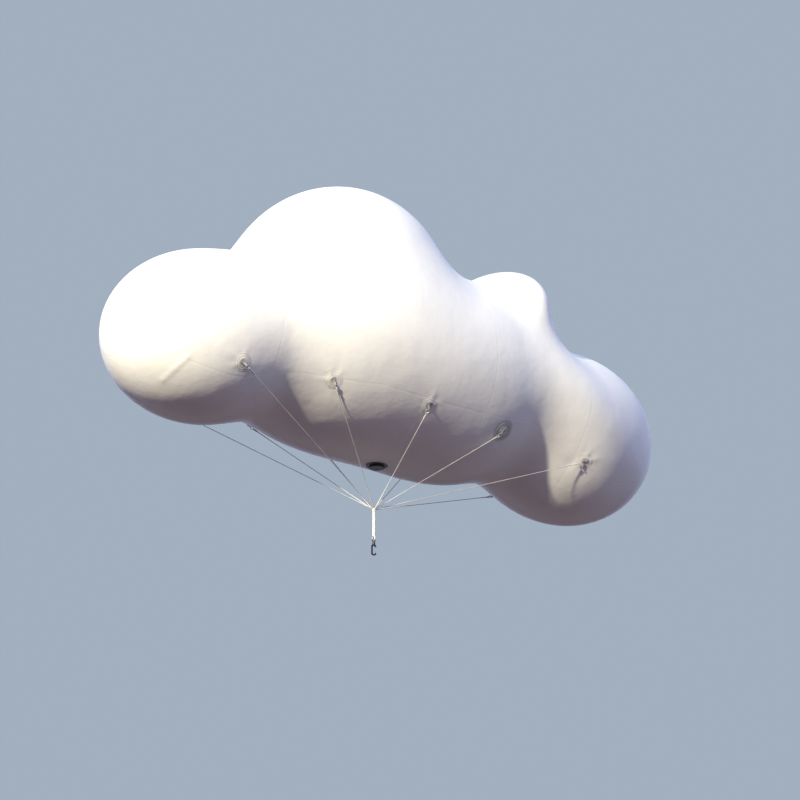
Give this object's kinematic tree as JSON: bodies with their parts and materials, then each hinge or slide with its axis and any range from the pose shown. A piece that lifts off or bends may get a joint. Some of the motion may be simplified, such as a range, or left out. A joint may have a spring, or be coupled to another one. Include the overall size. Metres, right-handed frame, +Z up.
{
  "type": "cloud-shaped helium advertising balloon",
  "caption": "White cloud-shaped helium balloon with load patches, bridle lines, filling valve, swivel and snap hook for a tether.",
  "frame": {"origin": "centre of the gas space, where the air holds the balloon up", "axes": "+X along the length towards the small-dome end, +Y towards the back, +Z up"},
  "size_m": [6.2469, 2.0986, 3.5197],
  "materials": {
    "skin": "semi-gloss coated film",
    "patch": "satin coated fabric",
    "line": "braided polyester rope",
    "steel": "zinc-plated steel",
    "dark_steel": "dark coated steel",
    "valve": "black moulded plastic"
  },
  "bodies": {
    "envelope": {"bridle_bunch": "line", "bridle_line_back_1": "line", "bridle_line_back_2": "line", "bridle_line_back_3": "line", "bridle_line_back_4": "line", "bridle_line_back_5": "line", "bridle_line_front_1": "line", "bridle_line_front_2": "line", "bridle_line_front_3": "line", "bridle_line_front_4": "line", "bridle_line_front_5": "line", "env_cap_left": "skin", "env_cap_right": "skin", "env_left_lobe_back": "skin", "env_left_lobe_bottom": "skin", "env_left_lobe_front": "skin", "env_left_lobe_top": "skin", "env_main_dome_back": "skin", "env_main_dome_bottom": "skin", "env_main_dome_front": "skin", "env_main_dome_top": "skin", "env_right_lobe_back": "skin", "env_right_lobe_bottom": "skin", "env_right_lobe_front": "skin", "env_right_lobe_top": "skin", "env_small_dome_back": "skin", "env_small_dome_bottom": "skin", "env_small_dome_front": "skin", "env_small_dome_top": "skin", "load_patch_back_1": "patch", "load_patch_back_2": "patch", "load_patch_back_3": "patch", "load_patch_back_4": "patch", "load_patch_back_5": "patch", "load_patch_front_1": "patch", "load_patch_front_2": "patch", "load_patch_front_3": "patch", "load_patch_front_4": "patch", "load_patch_front_5": "patch", "patch_ring_back_1": "steel", "patch_ring_back_2": "steel", "patch_ring_back_3": "steel", "patch_ring_back_4": "steel", "patch_ring_back_5": "steel", "patch_ring_front_1": "steel", "patch_ring_front_2": "steel", "patch_ring_front_3": "steel", "patch_ring_front_4": "steel", "patch_ring_front_5": "steel", "swivel_eye": "dark_steel", "valve_cap": "valve", "valve_flange": "valve"},
    "hook": {"hook_body": "dark_steel"},
    "gate": {"hook_gate": "steel"}
  },
  "joints": [
    {"name": "swivel_spin", "type": "hinge", "parent": "envelope", "child": "hook", "pos_m": [-0.03, 0, -1.94], "axis": [0, 0, 1], "continuous": true},
    {"name": "gate_swing", "type": "hinge", "parent": "hook", "child": "gate", "pos_m": [-0.01, 0, -1.9627], "axis": [0, 1, 0], "range_deg": [0, 25], "stiffness_Nm_per_rad": 0.02, "springref_deg": -20.05}
  ]
}
